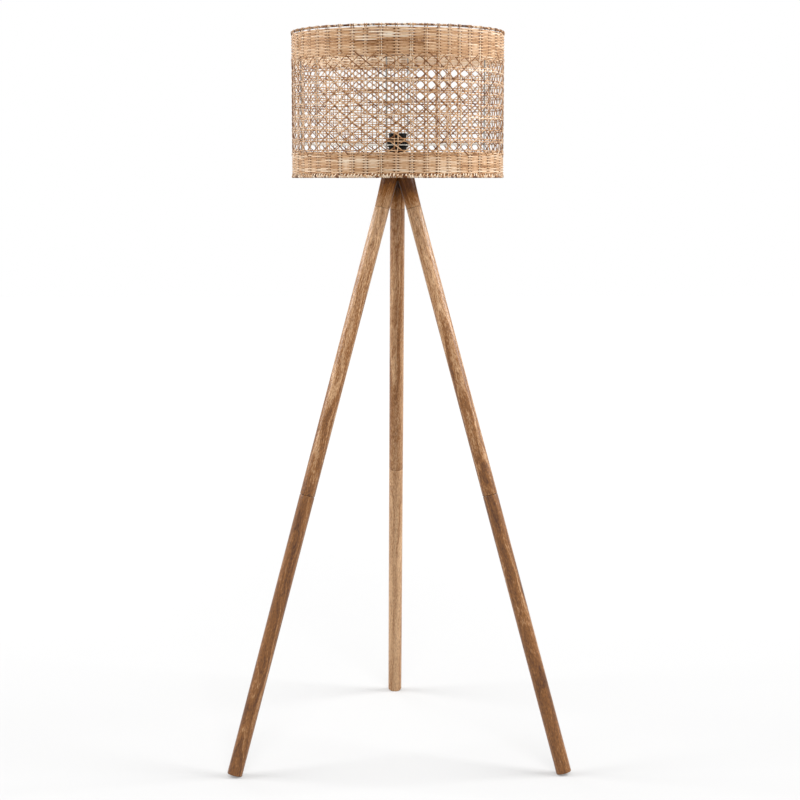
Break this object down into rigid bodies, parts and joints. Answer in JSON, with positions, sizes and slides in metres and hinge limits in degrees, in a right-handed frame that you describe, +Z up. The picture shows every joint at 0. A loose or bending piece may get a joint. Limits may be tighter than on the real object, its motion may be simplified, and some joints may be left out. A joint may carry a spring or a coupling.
{
  "type": "floor lamp",
  "caption": "Tripod floor lamp with a drum shade of open woven cane over a wooden hub and round wooden legs that screw together at mid height.",
  "frame": {"origin": "on the floor, in the middle of the rectangle that the lamp covers; the lamp's own axis stands 95.76 mm nearer the front, at y = -0.09576", "axes": "+Z up along the lamp's axis, +X to the right of a viewer in front, +Y towards the back leg"},
  "size_m": [0.7258, 0.6416, 1.556],
  "materials": {
    "leg_wood": "satin oiled, brown with dark grain streaks",
    "hub_wood": "satin oiled, darker",
    "cane": "natural split cane, low sheen, uneven colour",
    "white_wire": "white lacquer",
    "dark_wire": "dull grey",
    "zinc_steel": "zinc plated",
    "brass": "drawn sheet, bright",
    "black_resin": "moulded black resin",
    "porcelain": "glazed ceramic"
  },
  "bodies": {
    "stand": {"hub": "hub_wood", "hub_insert_left": "brass", "hub_insert_right": "brass", "hub_insert_back": "brass", "threaded_nipple": "zinc_steel", "lower_washer": "zinc_steel", "upper_washer": "zinc_steel", "nipple_nut": "zinc_steel", "lampholder_cap": "black_resin", "lampholder_skirt": "black_resin", "lampholder_core": "porcelain", "socket_shell": "brass", "centre_contact": "brass"},
    "clamp_ring": {"clamp_ring": "black_resin"},
    "shade": {"fitter_ring": "white_wire", "spider_arm_1": "white_wire", "spider_arm_2": "white_wire", "spider_arm_3": "white_wire", "frame_upright_1": "dark_wire", "frame_upright_2": "dark_wire", "frame_upright_3": "dark_wire", "frame_upright_4": "dark_wire", "frame_upright_5": "dark_wire", "frame_upright_6": "dark_wire", "top_ring": "white_wire", "bottom_ring": "white_wire", "top_band": "cane", "bottom_band": "cane", "cane_web_01": "cane", "cane_web_02": "cane", "cane_web_03": "cane", "cane_web_04": "cane", "cane_web_05": "cane", "cane_web_06": "cane", "cane_web_07": "cane", "cane_web_08": "cane", "cane_web_09": "cane", "cane_web_10": "cane", "cane_web_11": "cane"},
    "upper_leg_left": {"upper_leg_left": "leg_wood", "upper_leg_bolt_left": "zinc_steel", "mid_leg_insert_left": "brass"},
    "lower_leg_left": {"lower_leg_left": "leg_wood", "lower_leg_bolt_left": "zinc_steel"},
    "upper_leg_right": {"upper_leg_right": "leg_wood", "upper_leg_bolt_right": "zinc_steel", "mid_leg_insert_right": "brass"},
    "lower_leg_right": {"lower_leg_right": "leg_wood", "lower_leg_bolt_right": "zinc_steel"},
    "upper_leg_back": {"upper_leg_back": "leg_wood", "upper_leg_bolt_back": "zinc_steel", "mid_leg_insert_back": "brass"},
    "lower_leg_back": {"lower_leg_back": "leg_wood", "lower_leg_bolt_back": "zinc_steel"}
  },
  "joints": [
    {"name": "shade_turn", "type": "hinge", "parent": "stand", "child": "shade", "pos_m": [0, -0.09576, 1.3203], "axis": [0, 0, 1], "continuous": true},
    {"name": "clamp_ring_turn", "type": "hinge", "parent": "stand", "child": "clamp_ring", "pos_m": [0, -0.09576, 1.3221], "axis": [0, 0, 1], "continuous": true},
    {"name": "upper_leg_screw_left", "type": "hinge", "parent": "stand", "child": "upper_leg_left", "pos_m": [-0.03395, -0.11536, 1.188], "axis": [-0.2536, -0.1464, -0.9562], "continuous": true},
    {"name": "lower_leg_screw_left", "type": "hinge", "parent": "upper_leg_left", "child": "lower_leg_left", "pos_m": [-0.19395, -0.20774, 0.58466], "axis": [-0.2536, -0.1464, -0.9562], "continuous": true},
    {"name": "upper_leg_screw_right", "type": "hinge", "parent": "stand", "child": "upper_leg_right", "pos_m": [0.03395, -0.11536, 1.188], "axis": [0.2536, -0.1464, -0.9562], "continuous": true},
    {"name": "lower_leg_screw_right", "type": "hinge", "parent": "upper_leg_right", "child": "lower_leg_right", "pos_m": [0.19395, -0.20774, 0.58466], "axis": [0.2536, -0.1464, -0.9562], "continuous": true},
    {"name": "upper_leg_screw_back", "type": "hinge", "parent": "stand", "child": "upper_leg_back", "pos_m": [0, -0.05656, 1.188], "axis": [0, 0.2928, -0.9562], "continuous": true},
    {"name": "lower_leg_screw_back", "type": "hinge", "parent": "upper_leg_back", "child": "lower_leg_back", "pos_m": [0, 0.1282, 0.58466], "axis": [0, 0.2928, -0.9562], "continuous": true}
  ]
}
